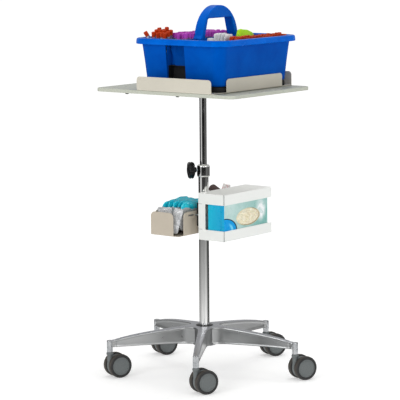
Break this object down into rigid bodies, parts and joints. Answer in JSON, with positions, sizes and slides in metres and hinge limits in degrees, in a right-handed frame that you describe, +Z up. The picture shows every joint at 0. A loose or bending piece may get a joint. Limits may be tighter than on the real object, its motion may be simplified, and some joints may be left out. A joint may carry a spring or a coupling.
{
  "type": "instrument cart",
  "caption": "Rolling stand with a five-arm caster base, a telescoping mast, a top with a tray and carry tote, a glove-box holder and a side bin.",
  "frame": {"origin": "on the floor, under the middle of the cart's overall footprint; the mast's axis stands at X -16.5 mm, Y -47.9 mm", "axes": "+X along the long side of the top, towards the tote; +Y along its short side, so the tote's slotted end and the clear side of the bin face -Y; +Z up"},
  "size_m": [0.6582, 0.6502, 1.1605],
  "materials": {
    "cast_aluminium": "polished",
    "chrome": "polished",
    "zinc_steel": "satin",
    "black_plastic": "satin",
    "black_foam": "matte",
    "tyre_rubber": "matte",
    "caster_grey": "satin",
    "top_laminate": "satin",
    "tray_coat": "satin",
    "bin_coat": "satin",
    "white_coat": "satin",
    "tote_blue": "satin",
    "carton": "satin",
    "cap_orange": "satin",
    "cap_purple": "satin",
    "bag_film": "satin"
  },
  "bodies": {
    "base": {"star_base": "cast_aluminium", "hub_insert": "black_plastic", "lower_tube": "chrome", "base_nut": "zinc_steel", "glide_bush": "black_plastic", "clamp_collar": "chrome", "saddle_front": "black_plastic", "saddle_rear": "black_plastic", "clamp_bolt_near": "zinc_steel", "clamp_bolt_far": "zinc_steel", "glove_holder": "white_coat", "accessory_bin": "bin_coat", "bin_bags": "bag_film", "bin_roll": "bag_film"},
    "knob": {"clamp_knob": "black_plastic"},
    "mast": {"upper_tube": "chrome"},
    "top": {"top_bracket": "cast_aluminium", "tabletop": "top_laminate", "tray": "tray_coat", "tray_pad": "black_foam"},
    "tote": {"tote": "tote_blue", "tubes_red_front": "cap_orange", "tubes_red_side": "cap_orange", "tubes_purple": "cap_purple"},
    "glove_box": {"glove_box": "carton"},
    "caster1": {"caster1_stem": "zinc_steel", "caster1_housing": "caster_grey", "caster1_axle": "zinc_steel"},
    "wheel1_a": {"caster1_wheel_a": "caster_grey", "caster1_tyre_a": "tyre_rubber"},
    "wheel1_b": {"caster1_wheel_b": "caster_grey", "caster1_tyre_b": "tyre_rubber"},
    "caster2": {"caster2_stem": "zinc_steel", "caster2_housing": "caster_grey", "caster2_axle": "zinc_steel"},
    "wheel2_a": {"caster2_wheel_a": "caster_grey", "caster2_tyre_a": "tyre_rubber"},
    "wheel2_b": {"caster2_wheel_b": "caster_grey", "caster2_tyre_b": "tyre_rubber"},
    "caster3": {"caster3_stem": "zinc_steel", "caster3_housing": "caster_grey", "caster3_axle": "zinc_steel"},
    "wheel3_a": {"caster3_wheel_a": "caster_grey", "caster3_tyre_a": "tyre_rubber"},
    "wheel3_b": {"caster3_wheel_b": "caster_grey", "caster3_tyre_b": "tyre_rubber"},
    "caster4": {"caster4_stem": "zinc_steel", "caster4_housing": "caster_grey", "caster4_axle": "zinc_steel"},
    "wheel4_a": {"caster4_wheel_a": "caster_grey", "caster4_tyre_a": "tyre_rubber"},
    "wheel4_b": {"caster4_wheel_b": "caster_grey", "caster4_tyre_b": "tyre_rubber"},
    "caster5": {"caster5_stem": "zinc_steel", "caster5_housing": "caster_grey", "caster5_axle": "zinc_steel"},
    "wheel5_a": {"caster5_wheel_a": "caster_grey", "caster5_tyre_a": "tyre_rubber"},
    "wheel5_b": {"caster5_wheel_b": "caster_grey", "caster5_tyre_b": "tyre_rubber"}
  },
  "joints": [
    {"name": "mast_slide", "type": "slide", "parent": "base", "child": "mast", "axis": [0, 0, 1], "range_m": [-0.2, 0.2]},
    {"name": "top_turn", "type": "hinge", "parent": "mast", "child": "top", "pos_m": [-0.0165, -0.0479, 0.88], "axis": [0, 0, 1], "continuous": true},
    {"name": "knob_turn", "type": "hinge", "parent": "base", "child": "knob", "pos_m": [-0.0165, -0.0479, 0.6465], "axis": [-0.6428, -0.766, 0], "range_deg": [0, 720]},
    {"name": "tote_lift", "type": "slide", "parent": "top", "child": "tote", "axis": [0, 0, 1], "range_m": [0, 0.12]},
    {"name": "glove_box_slide", "type": "slide", "parent": "base", "child": "glove_box", "axis": [0, 1, 0], "range_m": [0, 0.2]},
    {"name": "caster1_swivel", "type": "hinge", "parent": "base", "child": "caster1", "pos_m": [0.27865, 0.02898, 0.081], "axis": [0, 0, 1], "continuous": true},
    {"name": "wheel1_a_spin", "type": "hinge", "parent": "caster1", "child": "wheel1_a", "pos_m": [0.28956, 0.05313, 0.0375], "axis": [0.9114, -0.4115, 0], "continuous": true},
    {"name": "wheel1_b_spin", "type": "hinge", "parent": "caster1", "child": "wheel1_b", "pos_m": [0.28956, 0.05313, 0.0375], "axis": [0.9114, -0.4115, 0], "continuous": true},
    {"name": "caster2_swivel", "type": "hinge", "parent": "base", "child": "caster2", "pos_m": [0.00159, 0.25656, 0.081], "axis": [0, 0, 1], "continuous": true},
    {"name": "wheel2_a_spin", "type": "hinge", "parent": "caster2", "child": "wheel2_a", "pos_m": [0.01249, 0.28072, 0.0375], "axis": [0.9114, -0.4115, 0], "continuous": true},
    {"name": "wheel2_b_spin", "type": "hinge", "parent": "caster2", "child": "wheel2_b", "pos_m": [0.01249, 0.28072, 0.0375], "axis": [0.9114, -0.4115, 0], "continuous": true},
    {"name": "caster3_swivel", "type": "hinge", "parent": "base", "child": "caster3", "pos_m": [-0.30047, 0.06339, 0.081], "axis": [0, 0, 1], "continuous": true},
    {"name": "wheel3_a_spin", "type": "hinge", "parent": "caster3", "child": "wheel3_a", "pos_m": [-0.28957, 0.08754, 0.0375], "axis": [0.9114, -0.4115, 0], "continuous": true},
    {"name": "wheel3_b_spin", "type": "hinge", "parent": "caster3", "child": "wheel3_b", "pos_m": [-0.28957, 0.08754, 0.0375], "axis": [0.9114, -0.4115, 0], "continuous": true},
    {"name": "caster4_swivel", "type": "hinge", "parent": "base", "child": "caster4", "pos_m": [-0.21009, -0.28358, 0.081], "axis": [0, 0, 1], "continuous": true},
    {"name": "wheel4_a_spin", "type": "hinge", "parent": "caster4", "child": "wheel4_a", "pos_m": [-0.19919, -0.25943, 0.0375], "axis": [0.9114, -0.4115, 0], "continuous": true},
    {"name": "wheel4_b_spin", "type": "hinge", "parent": "caster4", "child": "wheel4_b", "pos_m": [-0.19919, -0.25943, 0.0375], "axis": [0.9114, -0.4115, 0], "continuous": true},
    {"name": "caster5_swivel", "type": "hinge", "parent": "base", "child": "caster5", "pos_m": [0.14783, -0.30485, 0.081], "axis": [0, 0, 1], "continuous": true},
    {"name": "wheel5_a_spin", "type": "hinge", "parent": "caster5", "child": "wheel5_a", "pos_m": [0.15873, -0.2807, 0.0375], "axis": [0.9114, -0.4115, 0], "continuous": true},
    {"name": "wheel5_b_spin", "type": "hinge", "parent": "caster5", "child": "wheel5_b", "pos_m": [0.15873, -0.2807, 0.0375], "axis": [0.9114, -0.4115, 0], "continuous": true}
  ]
}
